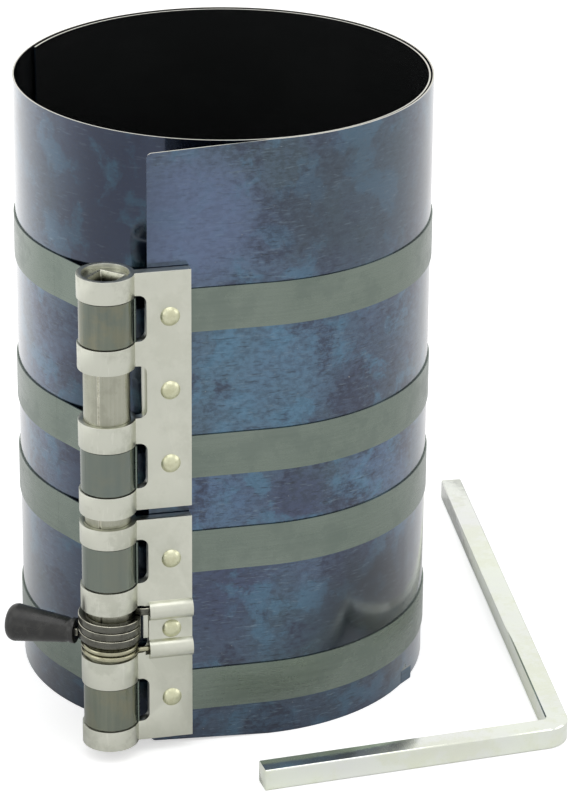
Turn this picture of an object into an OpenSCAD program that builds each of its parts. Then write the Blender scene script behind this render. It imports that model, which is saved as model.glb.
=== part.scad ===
// Piston ring compressor: a coiled spring-steel sleeve drawn tight by four steel bands that wind
// onto a keyed shaft, held by a wrap-spring clutch with a release lever. The loose key lies beside it.
// The frame: origin on the sleeve's axis at its lower edge, +Z up the axis, hinge plates facing -Y.

/* [Sleeve] */
// Height of the sleeve, from its lower edge to its rim
sleeve_h = 177.8; // [150:0.1:200]
// Inner radius of the coiled sheet as it stands
sleeve_bore_r = 57.15; // [54:0.05:60]
// Thickness of the spring-steel sheet
sheet_t = 0.45; // [0.35:0.05:0.6]
// Gap between the sheet's two layers
layer_gap = 0.1; // [0.05:0.05:0.3]
// Direction in which the sheet's inner end lies
inner_end_angle = 146; // [130:1:160]
// How far the outer layer springs off the inner one at the back, between the sheets' middles
back_standoff = 1.8; // [1:0.1:4]
// Length of the flat flap at the sheet's outer end
flap_len = 33.5; // [31:0.5:36]
// How far the flap's free end is trimmed back from the rim and from the lower edge
flap_trim = 1.5; // [0:0.1:3]
// Corner radius of the flap
flap_corner_r = 1.6; // [0.5:0.1:3]
// Direction of the stop lug on the lower edge
lug_angle = 322; // [310:1:345]
// Width of the stop lug
lug_w = 5; // [2:0.5:6]
// Height of the stop lug
lug_h = 4; // [3:0.5:6]
// Angle at which the lug is bent out
lug_lean = 10; // [8:1:30]

/* [Bands] */
// Width of a tension band
band_w = 12.5; // [10:0.1:13]
// Thickness of a tension band
band_t = 0.4; // [0.3:0.05:0.5]
// Clearance between a band and the sleeve
band_gap = 0.05; // [0.03:0.01:0.1]
// Heights of the four bands' middles
band_z = [131.1, 88.1, 59.4, 16.6]; // [10:0.1:140]
// Distance from the window's edge to the band's riveted end, under the plate
band_end_inset = 1; // [0.5:0.1:3]
// Number of half turns of band wound on the shaft
roll_half_turns = 4; // [2:1:7]
// Gap between the wound layers
roll_gap = 0.02; // [0.01:0.01:0.04]
// Clearance between a roll and the band that runs on to it
run_gap = 0.15; // [0.1:0.05:0.3]
// Angle that the running band still follows around its roll
run_wrap = 50; // [20:5:60]

/* [Hinge plates] */
// Thickness of the plate's sheet, which is folded double
plate_t = 1.4; // [1:0.1:1.6]
// Lower edge of the upper plate
upper_plate_z = 75; // [74:0.1:76]
// Height of the upper plate
upper_plate_h = 69.2; // [68.5:0.1:71]
// Lower edge of the lower plate
lower_plate_z = 4.1; // [3:0.1:5]
// Height of the lower plate
lower_plate_h = 67.8; // [66.5:0.1:68.5]
// Reach of the plates from the shaft's axis to their free edge
plate_reach = 22.8; // [21:0.1:26]
// Reach of the window cut-outs from the shaft's axis
window_reach = 10.6; // [9.6:0.1:11.5]
// Corner radius of the windows
window_corner_r = 2.2; // [1:0.1:3]
// Clearance between a roll's end and the knuckle beside it
window_gap = 0.35; // [0.2:0.05:0.6]
// Middle of the window at the bare stretch of shaft
bare_window_z = 109.8; // [108:0.1:111]
// Height of that window
bare_window_h = 15.2; // [12:0.1:17]
// Middle of the window around the springs
spring_window_z = 38.6; // [38.2:0.1:39]
// Height of the window around the springs
spring_window_h = 14.6; // [14.4:0.1:15.5]
// How far the plate's back layer stands into that window, between the tangs
back_edge_w = 1.3; // [0.5:0.1:1.5]
// Height of that stretch of the back layer
back_edge_h = 7; // [5:0.1:8]
// Wall of the embossed ridges that hold the spring tangs
ridge_wall = 1.2; // [0.8:0.1:1.4]

/* [Shaft] */
// Distance from the sleeve's axis to the shaft's axis, along X
shaft_x = 45; // [44:0.1:46]
// Diameter of the winding shaft
shaft_d = 12.7; // [12:0.1:13.2]
// Radial clearance of the shaft in the knuckles
knuckle_gap = 0.1; // [0.05:0.01:0.1]
// Distance from the shaft's axis to the fold plane of the plates
fold_offset = 1.05; // [0.6:0.05:1.4]
// How far the shaft's ends lie inside the outermost knuckles
shaft_recess = 1.2; // [0.2:0.1:1.5]
// Depth of the square socket in the shaft's upper end
socket_depth = 26; // [15:1:40]
// Clearance all round the key in its socket
socket_gap = 0.12; // [0.05:0.01:0.2]
// Direction of the socket's flats
socket_angle = 48; // [0:1:89]
// Width of the socket's tapered mouth on each side
mouth_w = 0.5; // [0.3:0.1:0.8]
// Depth of the tapered mouth
mouth_depth = 2.4; // [1:0.1:4]
// Width of the rolled seam along the shaft
seam_w = 0.4; // [0.2:0.1:0.8]
// Direction of the rolled seam
seam_angle = 239; // [200:1:280]

/* [Rivets] */
// Diameter of a rivet's domed head
rivet_head_d = 5.4; // [4:0.1:5.6]
// Height of the domed head
rivet_head_h = 1.4; // [1:0.1:2]
// Diameter of the flat on the dome, where the setting tool pressed
rivet_flat_d = 1; // [0.5:0.1:2]
// Height of the set head inside the flap
rivet_set_h = 0.8; // [0.5:0.1:1.2]
// Diameter of the rivet's shank
rivet_d = 3.2; // [2.5:0.1:3.5]
// Radial clearance around the shank
rivet_gap = 0.05; // [0.03:0.01:0.1]
// Distance from the plates' free edge to the rivets
rivet_inset = 5.8; // [5:0.1:6.5]
// Height of the rivet at the bare window
plate_rivet_z = 109.7; // [108:0.1:111]
// Height of the rivet between the ridges
anchor_rivet_z = 38; // [37.9:0.1:38.3]

/* [Clutch] */
// Width of the clutch spring's square wire
clutch_wire = 2.2; // [2:0.1:2.3]
// Drop of the clutch spring in one turn
clutch_pitch = 2.4; // [2.35:0.05:2.6]
// Full turns of the clutch spring, before the part turn to the lever
clutch_turns = 3; // [2:1:3]
// Gap between the spring's coils and the shaft
coil_gap = 0.12; // [0.05:0.01:0.3]
// Height of the clutch spring's tang
clutch_tang_z = 44; // [43.6:0.1:44.4]
// Diameter of the return spring's round wire
return_wire = 1.5; // [1.2:0.1:1.6]
// Full turns of the return spring, of which the last stops short at the lever
return_turns = 2; // [1:1:2]
// Clearance between the return spring's end and the lever
return_end_gap = 0.3; // [0.1:0.1:1]
// Drop of the return spring in one turn
return_pitch = 1.75; // [1.65:0.05:1.85]
// Height of the return spring's tang
return_tang_z = 32.2; // [32.1:0.1:32.3]
// Distance from the shaft's axis out to the tangs' line, towards the front
tang_offset = 1.8; // [1.4:0.1:2]
// Clearance around a tang in its ridge
tang_gap = 0.2; // [0.1:0.05:0.3]
// Distance that the tangs stop short of the plates' free edge
tang_inset = 2.5; // [2:0.1:4]

/* [Lever] */
// Direction in which the lever points at rest
lever_angle = 150; // [140:1:160]
// How far the lever's neck is set up above the spring's last turn
lever_rise = 0.6; // [0:0.1:1.2]
// Running gap between the clutch spring and the lever's neck
neck_gap = 0.3; // [0.2:0.05:0.5]
// Length of the grip
grip_len = 20; // [16:0.1:24]
// Diameter of the grip at its outer end
grip_d = 10.6; // [9:0.1:12]
// Diameter of the grip at its neck
grip_neck_d = 7.2; // [6:0.1:8]
// Radius of the grip's rounded end
grip_round_r = 2.6; // [1:0.1:5]
// Width of the collar at the neck
collar_w = 1.3; // [0.8:0.1:2]
// Diameter of the groove behind the collar
collar_groove_d = 6.7; // [5:0.1:7]
// Width of the groove's floor
collar_groove_w = 0.8; // [0.4:0.1:1.5]
// Length of the slope from the groove up to the grip's cone
collar_slope = 0.8; // [0.4:0.1:1.5]
// Length of neck that shows between the spring and the grip
neck_show = 0.8; // [0.3:0.1:2]
// Depth of the neck in the grip
neck_seat = 13; // [8:0.5:15]
// Clearance of the neck in the grip
neck_seat_gap = 0.05; // [0.02:0.01:0.1]

/* [Key] */
// Width of the key's square bar
key_w = 6.35; // [6:0.05:7]
// Length of the key's short arm, to the outer corner
key_short = 90; // [70:1:110]
// Length of the key's long arm, to the outer corner
key_long = 167; // [140:1:190]
// Angle between the key's arms
key_bend = 99; // [90:1:105]
// Inner radius of the key's bend
key_bend_r = 1.4; // [1:0.1:4]
// Chamfer along the bar's edges
key_chamfer = 0.35; // [0.2:0.05:0.8]
// Place of the key's outer corner along X
key_corner_x = 82; // [75:1:100]
// Place of the key's outer corner along Y
key_corner_y = -84; // [-100:1:-80]
// Direction of the key's short arm from that corner
key_angle = 184; // [170:1:200]

/* [Hidden] */
$fn = 96;
// How far a cutting solid runs past the face that it cuts
cut = 1;
// Largest angle between two points of a coil
coil_step = 15;
// Lap of one stretch of a bent strip into the stretch before, and how much slimmer every second one is
lap_len = 0.05;
lap_step = 0.02;

// Radii of the sheet's middle, on the inner layer and on the outer one
inner_mid_r = sleeve_bore_r + sheet_t / 2;
layer_step = sheet_t + layer_gap;
outer_mid_r = inner_mid_r + layer_step;
sleeve_out_r = outer_mid_r + sheet_t / 2;

// The outer layer is two half turns that meet on the Y axis, each about its own centre
left_mid_r = inner_mid_r + back_standoff / 2;
left_centre_y = back_standoff / 2;
right_mid_r = left_mid_r + layer_step / 2;
right_centre_y = left_centre_y - layer_step / 2;
band_lift = sheet_t / 2 + band_gap + band_t / 2;

// Route of the sheet: bore, left half turn that springs off, right half turn that closes in again
sleeve_path = [
  [inner_mid_r, -(inner_end_angle + 90)],
  [left_mid_r, -180],
  [right_mid_r, -180]
];

// Faces of the stack at the plates, from the flap outwards
leaf_back_y = -(sleeve_out_r + band_gap + band_t);
leaf_front_y = leaf_back_y - 2 * plate_t;
shaft_pos = [-shaft_x, leaf_back_y - plate_t + fold_offset];
shaft_r = shaft_d / 2;
knuckle_bore_r = shaft_r + knuckle_gap;
knuckle_r = knuckle_bore_r + plate_t;
plate_edge_x = plate_reach - shaft_x;
rivet_x = plate_edge_x - rivet_inset;

// Roll of band on the shaft: each half turn is an arc that is half a layer wider than the one before
roll_step = (band_t + roll_gap) / 2;
roll_in_mid_r = shaft_r + roll_gap + band_t / 2;
roll_out_r = roll_in_mid_r + roll_half_turns * roll_step + band_t / 2;
run_mid_r = roll_out_r + run_gap + band_t / 2;

// The band leaves the sleeve's left side on the crossing tangent of the sleeve and the roll
shaft_way = shaft_pos - [0, left_centre_y];
tangent_reach = left_mid_r + band_lift + run_mid_r;
leave_angle = atan2(shaft_way[1], shaft_way[0]) + 360 - acos(tangent_reach / norm(shaft_way));
tangent_len = sqrt(pow(norm(shaft_way), 2) - pow(tangent_reach, 2));

// Springs and lever, about the shaft's axis
clutch_mid_r = shaft_r + coil_gap + clutch_wire / 2;
return_mid_r = shaft_r + coil_gap + return_wire / 2;
coil_out_r = clutch_mid_r + clutch_wire / 2;
neck_start_r = coil_out_r + neck_gap;
grip_start_r = neck_start_r + neck_show;
lever_z = clutch_tang_z - clutch_pitch * (clutch_turns + lever_angle / 360) + lever_rise;
tang_end = plate_reach - tang_inset;
ridge_r = clutch_wire / sqrt(2) + tang_gap + ridge_wall;
tunnel_r = ridge_r - ridge_wall;

// A strip bent along lines [0, length] and arcs [radius, signed angle], from the origin along +X.
// The child is the strip's section, across the path in X and up in Y. Each stretch starts a little
// inside the one before, and every second one is slimmer by $thin, so that they join in a clear step.
module bent_strip(path, i = 0) {
  if (i < len(path)) {
    $thin = i % 2 * lap_step;
    lap = i == 0 ? 0 : lap_len;
    r = path[i][0];
    a = path[i][1];
    if (r == 0) {
      translate([-lap, 0, 0]) rotate([90, 0, 90]) linear_extrude(a + lap) children();
      translate([a, 0, 0]) bent_strip(path, i + 1) children();
    } else {
      side = sign(a);
      swing = abs(a) + lap / r * 180 / PI;
      translate([0, side * r, 0])
        rotate([0, 0, side > 0 ? a - 90 - swing : 90 + a])
          rotate_extrude(angle = swing) translate([r, 0]) children();
      translate([r * sin(abs(a)), side * r * (1 - cos(a)), 0])
        rotate([0, 0, a]) bent_strip(path, i + 1) children();
    }
  }
}

// The section of a flat strip
module strip_section(t, h) {
  translate([($thin - t) / 2, $thin / 2]) square([t - $thin, h - $thin]);
}

// Unit normal to the right of the way from a to b, seen from above
function right_of(a, b) =
  let (d = [b[0] - a[0], b[1] - a[1]])
  [d[1], -d[0]] / norm(d);

// Sideways vector of a wire's section at point k, mitred between its two stretches
function mitre(path, k) =
  let (before = max(k - 1, 0))
  let (after = min(k, len(path) - 2))
  let (sum = right_of(path[before], path[before + 1]) + right_of(path[after], path[after + 1]))
  sum * 2 / (sum * sum);

// A wire swept along a path that runs nearly level, with a section of points [right, up]
module wire(path, section) {
  m = len(section);
  last = len(path) - 1;
  rings = [
    for (k = [0:last])
      let (side = mitre(path, k))
      for (p = section) path[k] + [side[0] * p[0], side[1] * p[0], p[1]]
  ];
  start_cap = [for (j = [m - 1:-1:0]) j];
  end_cap = [for (j = [0:m - 1]) last * m + j];
  sides = [
    for (k = [0:last - 1])
      for (j = [0:m - 1])
        let (n = (j + 1) % m)
        [k * m + j, k * m + n, (k + 1) * m + n, (k + 1) * m + j]
  ];
  polyhedron(points = rings, faces = concat([start_cap, end_cap], sides), convexity = 8);
}

// Points of a coil about the shaft that falls by pitch in each turn, z being its height at angle 0
function coil(r, from, to, pitch, z) =
  let (steps = ceil((to - from) / coil_step))
  [for (k = [0:steps])
    let (a = from + (to - from) * k / steps)
    [r * cos(a), r * sin(a), z - pitch * a / 360]];

function square_section(w) = [[-w / 2, -w / 2], [w / 2, -w / 2], [w / 2, w / 2], [-w / 2, w / 2]];

function round_section(d, sides = 10) =
  [for (j = [0:sides - 1]) d / 2 * [cos(360 * j / sides), sin(360 * j / sides)]];

module at_shaft(z = 0) {
  translate([shaft_pos[0], shaft_pos[1], z]) children();
}

// The coiled sheet, from the tip of its inner end
module sleeve_coil() {
  rotate([0, 0, inner_end_angle])
    translate([inner_mid_r, 0, 0])
      rotate([0, 0, -90])
        bent_strip(sleeve_path) strip_section(sheet_t, sleeve_h);
}

// The flat flap: trimmed towards its free end, with round corners, drilled for the rivets
module sleeve_flap() {
  free_h = sleeve_h - 2 * flap_trim;
  flap_t = sheet_t - len(sleeve_path) % 2 * lap_step;
  translate([0, flap_t / 2 - outer_mid_r, 0])
    rotate([90, 0, 0])
      linear_extrude(flap_t)
        difference() {
          union() {
            polygon([
              [lap_len, lap_step],
              [lap_len, sleeve_h - lap_step],
              [flap_corner_r - flap_len, sleeve_h - flap_trim],
              [flap_corner_r - flap_len, flap_trim]
            ]);
            translate([-flap_len, flap_trim + flap_corner_r])
              square([flap_corner_r + cut, free_h - 2 * flap_corner_r]);
            for (z = [flap_trim + flap_corner_r, sleeve_h - flap_trim - flap_corner_r])
              translate([flap_corner_r - flap_len, z]) circle(flap_corner_r);
          }
          for (z = concat(band_z, [plate_rivet_z, anchor_rivet_z]))
            translate([rivet_x, z]) circle(rivet_d / 2 + rivet_gap);
        }
}

// The stop lug on the lower edge, bent out about its upright side that lies nearer to the plates
module stop_lug() {
  translate([0, right_centre_y, 0])
    rotate([0, 0, lug_angle])
      translate([right_mid_r, -lug_w / 2, 0])
        rotate([0, 0, -lug_lean])
          translate([-sheet_t / 2, 0, 0]) cube([sheet_t, lug_w, lug_h]);
}

module sleeve() {
  color("#3d4a6b") {
    sleeve_coil();
    sleeve_flap();
    stop_lug();
  }
}

// One band: flat under the plate, once round the sleeve, over to the shaft and on to its roll
module tension_band(i) {
  start_x = plate_edge_x - plate_reach + window_reach + band_end_inset;
  run = [
    [0, -start_x],
    [right_mid_r + band_lift, 180],
    [left_mid_r + band_lift, leave_angle - 90],
    [0, tangent_len],
    [run_mid_r, -run_wrap]
  ];
  color("#6d766c")
    difference() {
      translate([start_x, -outer_mid_r - band_lift, band_z[i] - band_w / 2])
        bent_strip(run) strip_section(band_t, band_w);
      rivet_bore(band_z[i]);
    }
}

// The wound length of one band, as half turns about two centres
module band_roll(i) {
  turns = [for (k = [0:roll_half_turns - 1]) [roll_in_mid_r + (k + 0.5) * roll_step, 180]];
  first_shift = -roll_step / 2;
  color("#5c645e")
    at_shaft(band_z[i] - band_w / 2)
      rotate([0, 0, leave_angle - 180 * (roll_half_turns + 1)])
        translate([first_shift + turns[0][0], 0, 0])
          rotate([0, 0, 90])
            bent_strip(turns) strip_section(band_t, band_w);
}

// The shaft: round outside, square socket with a tapered mouth, rolled seam along its length
module winding_shaft() {
  z0 = lower_plate_z + shaft_recess;
  z1 = upper_plate_z + upper_plate_h - shaft_recess;
  socket = key_w + 2 * socket_gap;
  mouth = socket + 2 * mouth_w;
  color("#b4b2a8")
    at_shaft()
      difference() {
        translate([0, 0, z0]) cylinder(r = shaft_r, h = z1 - z0);
        rotate([0, 0, socket_angle]) {
          translate([-socket / 2, -socket / 2, z1 - socket_depth])
            cube([socket, socket, socket_depth + cut]);
          intersection_for (a = [0, 90]) {
            rotate([90, 0, a])
              linear_extrude(2 * mouth, center = true)
                polygon([
                  [-socket / 2, z1 - mouth_depth],
                  [socket / 2, z1 - mouth_depth],
                  [mouth / 2, z1],
                  [mouth / 2, z1 + cut],
                  [-mouth / 2, z1 + cut],
                  [-mouth / 2, z1]
                ]);
          }
        }
        rotate([0, 0, seam_angle])
          translate([shaft_r - seam_w, -seam_w / 2, z0 - cut])
            cube([seam_w + cut, seam_w, z1 - z0 + 2 * cut]);
      }
}

// A window through a plate, open towards the shaft, with round inner corners
module plate_window(z, h) {
  wide = knuckle_r + window_reach + cut;
  at_shaft()
    translate([window_reach - wide, wide, z - h / 2])
      rotate([90, 0, 0])
        linear_extrude(2 * wide) {
          square([wide - window_corner_r, h]);
          translate([0, window_corner_r]) square([wide, h - 2 * window_corner_r]);
          for (y = [window_corner_r, h - window_corner_r])
            translate([wide - window_corner_r, y]) circle(window_corner_r);
        }
}

// A rivet's hole through plate, band and flap
module rivet_bore(z) {
  reach = 2 * plate_t + cut;
  translate([rivet_x, leaf_back_y, z])
    rotate([90, 0, 0])
      cylinder(r = rivet_d / 2 + rivet_gap, h = 2 * reach, center = true);
}

// A folded plate: two layers riveted to the flap, and knuckles that are the fold round the shaft
module hinge_plate(z, h, windows, rivets) {
  difference() {
    union() {
      translate([-shaft_x, leaf_front_y, z]) cube([plate_reach, 2 * plate_t, h]);
      at_shaft(z) cylinder(r = knuckle_r, h = h);
      children();
    }
    at_shaft(z - cut) cylinder(r = knuckle_bore_r, h = h + 2 * cut);
    for (w = windows) plate_window(w[0], w[1]);
    for (r = rivets) rivet_bore(r);
  }
}

function band_window(i) = [band_z[i], band_w + 2 * window_gap];

module upper_plate() {
  color("#c2c0b6")
    hinge_plate(
      upper_plate_z,
      upper_plate_h,
      [band_window(0), [bare_window_z, bare_window_h], band_window(1)],
      [band_z[0], plate_rivet_z, band_z[1]]
    );
}

// The line of a spring tang in the plate, from a reach outwards of the shaft's axis back towards it
module at_tang(z, from) {
  at_shaft(z)
    translate([from, -tang_offset, 0])
      rotate([180, 90, 0]) children();
}

// A half-round ridge raised in the plate's front
module tang_ridge(z) {
  at_tang(z, plate_reach)
    rotate_extrude(angle = 180) square([ridge_r, plate_reach - window_reach]);
}

// The tunnel in a ridge for a spring tang
module tang_tunnel(z) {
  at_tang(z, tang_end + tang_gap)
    cylinder(r = tunnel_r, h = tang_end + tang_gap - window_reach + cut);
}

// The back layer's edge in the window around the springs
module back_edge() {
  at_shaft(spring_window_z - back_edge_h / 2)
    translate([window_reach - back_edge_w, -fold_offset, 0])
      cube([back_edge_w + cut, plate_t, back_edge_h]);
}

module lower_plate() {
  tang_heights = [clutch_tang_z, return_tang_z];
  color("#c2c0b6") {
    back_edge();
    difference() {
      hinge_plate(
        lower_plate_z,
        lower_plate_h,
        [band_window(2), [spring_window_z, spring_window_h], band_window(3)],
        [band_z[2], anchor_rivet_z, band_z[3]]
      ) {
        for (z = tang_heights) tang_ridge(z);
      }
      for (z = tang_heights) tang_tunnel(z);
    }
  }
}

// A domed rivet through plate and flap, its set head flat against the flap's inside
module rivet(z) {
  grip = leaf_back_y - leaf_front_y + band_gap + band_t + sheet_t;
  head_r = rivet_head_d / 2;
  dome_y = (pow(rivet_flat_d / 2, 2) + pow(rivet_head_h, 2) - pow(head_r, 2)) / (2 * rivet_head_h);
  color("#dcd8bc")
    translate([rivet_x, leaf_front_y, z])
      rotate([90, 0, 0])
        rotate_extrude() {
          intersection() {
            translate([0, dome_y]) circle(norm([head_r, dome_y]));
            square([rivet_head_d, rivet_head_h]);
          }
          translate([0, -grip - rivet_set_h]) {
            square([rivet_d / 2, rivet_set_h + grip + rivet_head_h / 2]);
            square([head_r, rivet_set_h]);
          }
        }
}

// The clutch spring: tang in the upper ridge, turns around the shaft, a stub towards the lever
module clutch_spring() {
  start = -asin(tang_offset / clutch_mid_r);
  end = 360 * clutch_turns + lever_angle;
  turns = coil(clutch_mid_r, start, end, clutch_pitch, clutch_tang_z);
  tang = [tang_end, -tang_offset, turns[0][2]];
  color("#2f3031")
    at_shaft() wire(concat([tang], turns), square_section(clutch_wire));
}

// The return spring: its end behind the lever's neck, turns around the shaft, tang in the lower ridge
module return_spring() {
  behind = asin((clutch_wire / 2 + return_end_gap) / neck_start_r);
  start = lever_angle + behind - 360 * return_turns;
  end = -asin(tang_offset / return_mid_r);
  turns = coil(return_mid_r, start, end, return_pitch, return_tang_z);
  tang = [tang_end, -tang_offset, turns[len(turns) - 1][2]];
  color("#a8a595")
    at_shaft() wire(concat(turns, [tang]), round_section(return_wire));
}

module at_lever() {
  at_shaft(lever_z) rotate([0, 0, lever_angle]) children();
}

// The neck of the lever: the squared end of the spring wire, seated in the grip
module release_lever() {
  neck = neck_show + neck_seat;
  color("#343536")
    at_lever()
      translate([neck_start_r, -clutch_wire / 2, -clutch_wire / 2])
        cube([neck, clutch_wire, clutch_wire]);
}

// The tapered grip: collar, groove, cone and rounded end, with the seat for the neck
module lever_grip() {
  end_r = grip_d / 2;
  groove_end = collar_w + collar_groove_w;
  seat = clutch_wire + 2 * neck_seat_gap;
  body_len = grip_len - grip_round_r;
  color("#1c1c1d")
    at_lever()
      translate([grip_start_r, 0, 0])
        difference() {
          rotate([0, 90, 0])
            rotate_extrude()
              intersection() {
                union() {
                  polygon([
                    [0, 0],
                    [grip_neck_d / 2, 0],
                    [grip_neck_d / 2, collar_w],
                    [collar_groove_d / 2, collar_w],
                    [collar_groove_d / 2, groove_end],
                    [grip_neck_d / 2, groove_end + collar_slope],
                    [end_r, body_len],
                    [end_r - grip_round_r, grip_len],
                    [0, grip_len]
                  ]);
                  translate([end_r - grip_round_r, body_len]) circle(grip_round_r);
                }
                square([end_r, grip_len]);
              }
          translate([-cut, -seat / 2, -seat / 2]) cube([neck_seat + cut + neck_seat_gap, seat, seat]);
        }
}

// The bar section of the key, chamfered along its edges
module key_section() {
  h = (key_w - $thin) / 2;
  c = h - key_chamfer;
  translate([0, key_w / 2])
    polygon([[-h, -c], [-c, -h], [c, -h], [h, -c], [h, c], [c, h], [-c, h], [-h, c]]);
}

// The key, lying on the surface: short arm, bend, long arm
module key() {
  mid_r = key_bend_r + key_w / 2;
  turn = 180 - key_bend;
  inner_shift = key_w / 2;
  lost = mid_r * tan(turn / 2);
  corner_shift = inner_shift * tan(turn / 2);
  color("#c9cbc6")
    translate([key_corner_x, key_corner_y, 0])
      rotate([0, 0, key_angle])
        translate([key_short, -inner_shift, 0])
          rotate([0, 0, 180])
            bent_strip([
              [0, key_short - corner_shift - lost],
              [mid_r, turn],
              [0, key_long - corner_shift - lost]
            ]) key_section();
}

sleeve();
for (i = [0:3]) {
  tension_band(i);
  band_roll(i);
  rivet(band_z[i]);
}
winding_shaft();
upper_plate();
lower_plate();
rivet(plate_rivet_z);  // plate_rivet
rivet(anchor_rivet_z);  // anchor_rivet
clutch_spring();
return_spring();
release_lever();
lever_grip();
key();
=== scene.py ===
"""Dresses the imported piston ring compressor: finishes, smooth springs, soft edges and a white studio."""

import logging
import math
from dataclasses import dataclass
from enum import Enum
from typing import Dict, List, Sequence, Tuple, Union

import bmesh
import bpy
from mathutils import Matrix, Vector


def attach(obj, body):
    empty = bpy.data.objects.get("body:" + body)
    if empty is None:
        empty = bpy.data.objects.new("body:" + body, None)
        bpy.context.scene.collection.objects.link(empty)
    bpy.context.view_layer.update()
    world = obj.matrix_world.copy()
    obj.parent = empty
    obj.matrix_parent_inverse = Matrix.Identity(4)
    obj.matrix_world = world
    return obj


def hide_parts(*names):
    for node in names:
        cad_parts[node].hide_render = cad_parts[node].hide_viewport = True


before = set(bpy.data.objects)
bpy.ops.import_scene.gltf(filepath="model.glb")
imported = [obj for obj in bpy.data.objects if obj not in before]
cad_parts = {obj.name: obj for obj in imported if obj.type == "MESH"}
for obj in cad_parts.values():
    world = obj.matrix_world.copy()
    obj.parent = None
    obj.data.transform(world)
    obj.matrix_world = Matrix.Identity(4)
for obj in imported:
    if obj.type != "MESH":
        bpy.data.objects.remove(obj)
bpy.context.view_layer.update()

MM = 0.001
LOG = logging.getLogger("ring_compressor")
Socket = bpy.types.NodeSocket
Colour = Tuple[int, int, int]
Span = Tuple[float, float]
Point = Tuple[float, float, float]

SHAFT_X = -45.0 * MM
SHAFT_Y = -58.95 * MM
EDGE_LAYER = "edge"
WHITE = (1.0, 1.0, 1.0, 1.0)
FLAT_ANGLE = math.radians(0.3)
SHARP_ANGLE = math.radians(28)
CREASE_ANGLE = math.radians(40)


def linear(colour: Colour) -> Tuple[float, float, float, float]:
    """Turns a display colour into the linear one that shaders take.

    Args:
        colour: Red, green and blue from 0 to 255.

    Returns:
        The linear colour with full alpha.
    """
    def channel(value: int) -> float:
        """Gives one channel's linear value."""
        share = value / 255.0
        return share / 12.92 if share <= 0.04045 else ((share + 0.055) / 1.055) ** 2.4

    red, green, blue = colour
    return channel(red), channel(green), channel(blue), 1.0


def mesh_object(name: str, mesh: bmesh.types.BMesh) -> bpy.types.Object:
    """Turns a bmesh into an object of the scene.

    Args:
        name: The object's name.
        mesh: The finished bmesh, which is freed.

    Returns:
        The new object.
    """
    data = bpy.data.meshes.new(name)
    mesh.to_mesh(data)
    mesh.free()
    made = bpy.data.objects.new(name, data)
    bpy.context.scene.collection.objects.link(made)
    return made


class Grain(Enum):
    """The way that a finish's brush lines run, as stretches of its pattern along X, Y and Z."""

    LEVEL = (60.0, 60.0, 1500.0)
    UPRIGHT = (1400.0, 1400.0, 10.0)
    # Soft upright streaks; the roll finish uses them as painted highlights.
    UPRIGHT_SHEEN = (120.0, 120.0, 6.0)
    EVEN = (420.0, 420.0, 420.0)


class Body(str, Enum):
    """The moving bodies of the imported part."""

    COMPRESSOR = "compressor"
    SHAFT = "shaft"
    LEVER = "lever"
    KEY = "loose_key"


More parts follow.
